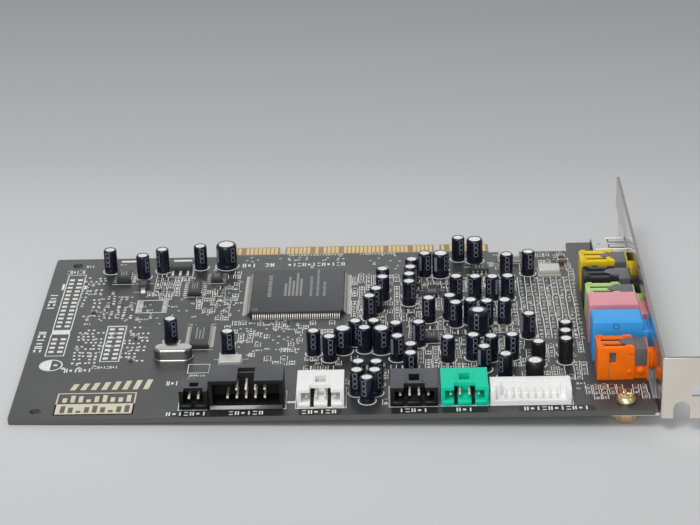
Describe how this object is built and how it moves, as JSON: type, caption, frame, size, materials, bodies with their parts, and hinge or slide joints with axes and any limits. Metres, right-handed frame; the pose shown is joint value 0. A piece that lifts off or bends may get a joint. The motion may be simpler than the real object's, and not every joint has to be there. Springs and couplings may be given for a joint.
{
  "type": "pci sound card",
  "caption": "Full-width PCI sound card: black keyed-edge board on a folded steel bracket with coloured audio jacks, a serial bus port, cable headers, chips and standing capacitors",
  "frame": {"origin": "middle of the insertion edge, at mid thickness of the board", "axes": "+X along the board toward the bracket, +Y the way the card goes into its slot, +Z out of the component side"},
  "size_m": [0.1871, 0.12, 0.0225],
  "materials": {
    "board_mask": "satin solder mask, near black",
    "gold_plating": "bright gold plate",
    "bracket_steel": "bright plated sheet steel",
    "yellow_zinc": "yellow passivated zinc",
    "washer_metal": "pale plated steel",
    "nut_brass": "plain brass",
    "orange_plastic": "moulded, fine satin",
    "blue_plastic": "moulded, fine satin",
    "pink_plastic": "moulded, fine satin",
    "lime_plastic": "moulded, fine satin",
    "black_plastic": "moulded, fine satin",
    "yellow_plastic": "moulded, fine satin",
    "white_plastic": "moulded nylon, off white",
    "teal_plastic": "moulded nylon, bright sea green",
    "spring_metal": "bright spring strip",
    "clip_metal": "dark grey shield strip",
    "shell_steel": "bright plated shell",
    "pin_metal": "tin plated square pins",
    "chip_epoxy": "moulded epoxy, fine matt",
    "lead_tin": "tin plated strip",
    "can_steel": "drawn nickel steel can",
    "base_ceramic": "pale ceramic base",
    "sleeve_navy": "shrunk sleeve, navy black",
    "sleeve_black": "shrunk sleeve, black"
  },
  "bodies": {
    "root": {"circuit_board": "board_mask", "edge_contacts_component_side": "gold_plating", "edge_contacts_solder_side": "gold_plating", "bracket": "bracket_steel", "bracket_screw": "yellow_zinc", "bracket_washer": "washer_metal", "bracket_nut": "nut_brass", "jack_housing_orange": "orange_plastic", "jack_housing_blue": "blue_plastic", "jack_housing_pink": "pink_plastic", "jack_housing_green": "lime_plastic", "jack_housing_black": "black_plastic", "jack_housing_yellow": "yellow_plastic", "jack_springs": "spring_metal", "jack_clips": "clip_metal", "port_shell": "shell_steel", "port_insulator": "black_plastic", "port_contacts": "gold_plating", "digital_header_housing": "black_plastic", "digital_header_pins": "pin_metal", "box_header_housing": "black_plastic", "box_header_pins": "pin_metal", "audio_header_housing_white": "white_plastic", "audio_header_housing_black": "black_plastic", "audio_header_housing_green": "teal_plastic", "audio_header_pins": "pin_metal", "wafer_header_housing": "white_plastic", "wafer_header_pins": "pin_metal", "signal_processor_body": "chip_epoxy", "signal_processor_leads": "lead_tin", "interface_chip_body": "chip_epoxy", "memory_chip_body": "chip_epoxy", "amplifier_chip_bodies": "chip_epoxy", "switch_chip_body": "chip_epoxy", "regulator_body": "chip_epoxy", "regulator_metal": "lead_tin", "diode_body": "chip_epoxy", "crystal_can": "can_steel", "resonator_bases": "base_ceramic", "resonator_lids": "can_steel", "capacitors_4mm": "sleeve_navy", "capacitors_5mm": "sleeve_navy", "capacitors_6mm": "sleeve_navy", "capacitors_plain": "sleeve_black", "capacitor_short": "sleeve_black"}
  },
  "joints": []
}
